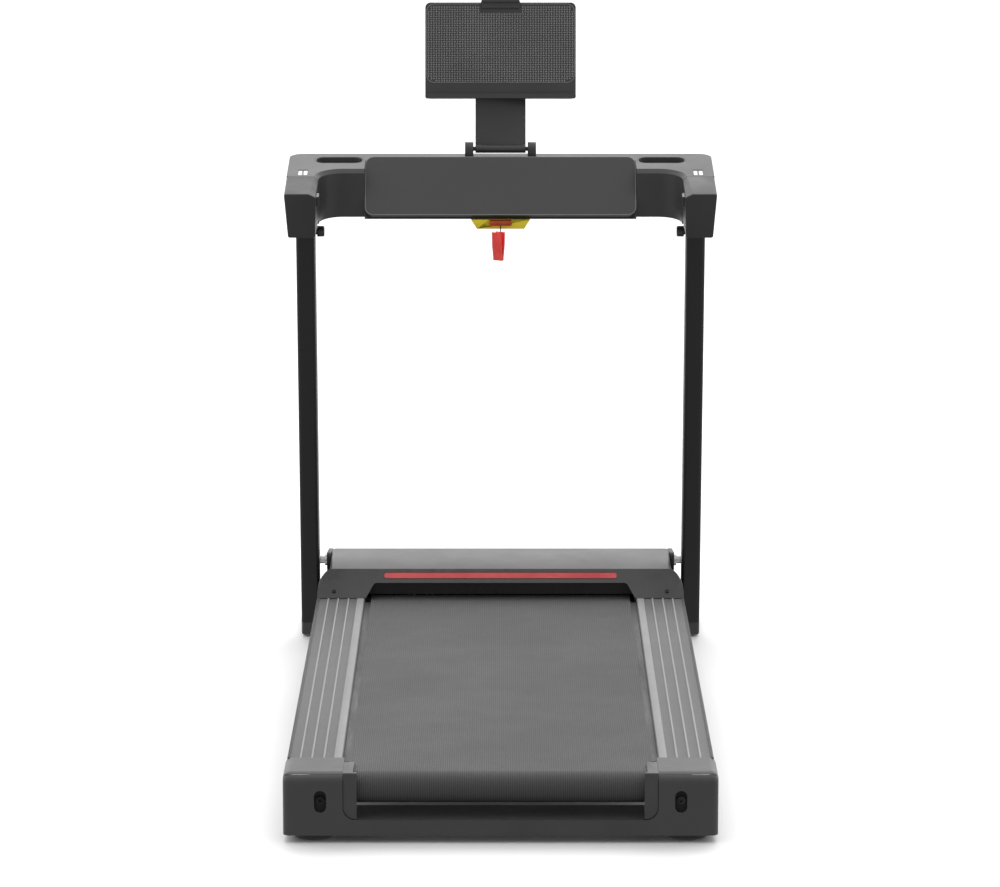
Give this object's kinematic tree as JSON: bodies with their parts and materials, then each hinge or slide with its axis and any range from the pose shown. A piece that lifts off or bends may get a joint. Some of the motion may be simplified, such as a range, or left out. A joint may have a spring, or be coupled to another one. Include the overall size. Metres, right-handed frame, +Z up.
{
  "type": "treadmill",
  "caption": "Folding treadmill with ribbed foot rails, motor hood, leaning uprights, U-shaped console, tablet rest and safety key clip.",
  "frame": {"origin": "middle of the footprint, on the floor", "axes": "+Z up, +Y the way the runner faces, +X to the runner's right"},
  "size_m": [0.808, 1.737, 1.2649],
  "materials": {
    "shell_black": "fine moulded texture",
    "shell_gloss": "satin gloss",
    "frame_black": "satin powder coat",
    "black_steel": "black oxide",
    "bright_steel": "zinc plated",
    "roller_steel": "turned",
    "belt_rubber": "fine lengthwise pattern",
    "foot_rubber": "matte",
    "board_wood": "waxed board",
    "rail_grey": "stippled grey",
    "grip_black": "soft touch",
    "display_dark": "dark window",
    "red_accent": "satin red",
    "motor_paint": "gloss paint",
    "circuit_green": "coated board",
    "key_yellow": "printed face",
    "key_orange": "moulded",
    "clip_red": "moulded",
    "cord_black": "braided"
  },
  "bodies": {
    "base": {"pivot_bolts": "bright_steel", "right_upright": "frame_black", "left_upright": "frame_black", "upright_shoes": "shell_black", "base_cross_tubes": "frame_black", "floor_tubes": "frame_black", "base_side_tubes": "frame_black", "base_pads": "foot_rubber", "wheel_axles": "bright_steel", "console_housing": "shell_black", "console_cover": "shell_black", "display_panel": "display_dark", "console_board": "circuit_green", "storage_trays": "shell_black", "right_grip": "grip_black", "left_grip": "grip_black", "console_knobs": "shell_black", "tablet_bracket": "shell_black", "key_seat": "key_yellow"},
    "deck": {"rear_cap": "shell_black", "belt_guides": "shell_black", "rear_feet": "foot_rubber", "adjuster_blocks": "frame_black", "adjuster_bolts": "black_steel", "roller_shafts": "bright_steel", "running_belt": "belt_rubber", "right_deck_tube": "frame_black", "left_deck_tube": "frame_black", "deck_cross_members": "frame_black", "deck_cushions": "foot_rubber", "deck_board": "board_wood", "right_foot_rail": "rail_grey", "left_foot_rail": "rail_grey", "hood_apron": "shell_gloss", "accent_strip": "red_accent", "motor_hood": "shell_black", "power_inlet": "shell_gloss", "bottom_pan": "frame_black", "drive_motor": "motor_paint", "drive_belt": "foot_rubber", "controller_board": "circuit_green", "pivot_plates": "frame_black", "pivot_washers": "bright_steel"},
    "rear_roller": {"rear_roller": "roller_steel"},
    "front_roller": {"front_roller": "roller_steel"},
    "motor_rotor": {"motor_rotor": "bright_steel"},
    "power_switch": {"power_switch": "red_accent"},
    "reset_button": {"reset_button": "shell_gloss"},
    "right_wheel": {"right_transport_wheel": "foot_rubber"},
    "left_wheel": {"left_transport_wheel": "foot_rubber"},
    "lock_plunger": {"lock_plunger": "black_steel"},
    "right_rocker": {"right_thumb_rocker": "shell_gloss"},
    "left_rocker": {"left_thumb_rocker": "shell_gloss"},
    "tablet_arm": {"tablet_neck": "shell_black", "tablet_plate": "shell_black"},
    "tablet_clamp": {"tablet_clamp": "shell_black"},
    "safety_key": {"safety_key": "key_orange", "key_cord": "cord_black", "clip_body": "clip_red"},
    "clip_jaw": {"clip_jaw": "clip_red"}
  },
  "joints": [
    {"name": "deck_fold", "type": "hinge", "parent": "base", "child": "deck", "pos_m": [0, 0.6875, 0.154], "axis": [-1, 0, 0], "range_deg": [0, 50]},
    {"name": "front_roller_spin", "type": "hinge", "parent": "deck", "child": "front_roller", "pos_m": [0, 0.5435, 0.0865], "axis": [1, 0, 0], "continuous": true},
    {"name": "rear_roller_spin", "type": "hinge", "parent": "deck", "child": "rear_roller", "pos_m": [0, -0.8285, 0.0865], "axis": [1, 0, 0], "continuous": true},
    {"name": "motor_spin", "type": "hinge", "parent": "deck", "child": "motor_rotor", "pos_m": [0, 0.6765, 0.11], "axis": [1, 0, 0], "continuous": true},
    {"name": "power_switch_rock", "type": "hinge", "parent": "deck", "child": "power_switch", "pos_m": [-0.17, 0.7865, 0.131], "axis": [1, 0, 0], "range_deg": [0, 12]},
    {"name": "reset_press", "type": "slide", "parent": "deck", "child": "reset_button", "axis": [0, -1, 0], "range_m": [0, 0.003], "stiffness_N_per_m": 300, "springref_m": -0.001},
    {"name": "right_wheel_spin", "type": "hinge", "parent": "base", "child": "right_wheel", "pos_m": [0.3745, 0.8385, 0.031], "axis": [1, 0, 0], "continuous": true},
    {"name": "left_wheel_spin", "type": "hinge", "parent": "base", "child": "left_wheel", "pos_m": [-0.3745, 0.8385, 0.031], "axis": [1, 0, 0], "continuous": true},
    {"name": "lock_slide", "type": "slide", "parent": "base", "child": "lock_plunger", "axis": [-1, 0, 0], "range_m": [0, 0.018]},
    {"name": "right_rocker_tilt", "type": "hinge", "parent": "base", "child": "right_rocker", "pos_m": [0.345, 0.35133, 0.90968], "axis": [0, 0.9889, 0.1487], "range_deg": [-6, 6], "stiffness_Nm_per_rad": 0.3},
    {"name": "left_rocker_tilt", "type": "hinge", "parent": "base", "child": "left_rocker", "pos_m": [-0.345, 0.35133, 0.90968], "axis": [0, 0.9889, 0.1487], "range_deg": [-6, 6], "stiffness_Nm_per_rad": 0.3},
    {"name": "tablet_tilt", "type": "hinge", "parent": "base", "child": "tablet_arm", "pos_m": [0, 0.5713, 0.98016], "axis": [-1, 0, 0], "range_deg": [-30, 50]},
    {"name": "clamp_slide", "type": "slide", "parent": "tablet_arm", "child": "tablet_clamp", "axis": [0, 0.1736, 0.9848], "range_m": [0, 0.035], "stiffness_N_per_m": 80, "springref_m": -0.03},
    {"name": "key_pull", "type": "slide", "parent": "base", "child": "safety_key", "axis": [0, -0.9889, -0.1487], "range_m": [0, 0.03]},
    {"name": "clip_squeeze", "type": "hinge", "parent": "safety_key", "child": "clip_jaw", "pos_m": [-0.004, 0.46734, 0.80614], "axis": [-0.8192, 0.5736, 0], "range_deg": [0, 16], "stiffness_Nm_per_rad": 0.05, "springref_deg": -11.46}
  ],
  "couplings": [
    {"joint": "rear_roller_spin", "follows": "front_roller_spin", "ratio": 1},
    {"joint": "motor_spin", "follows": "front_roller_spin", "ratio": 2.5714}
  ]
}
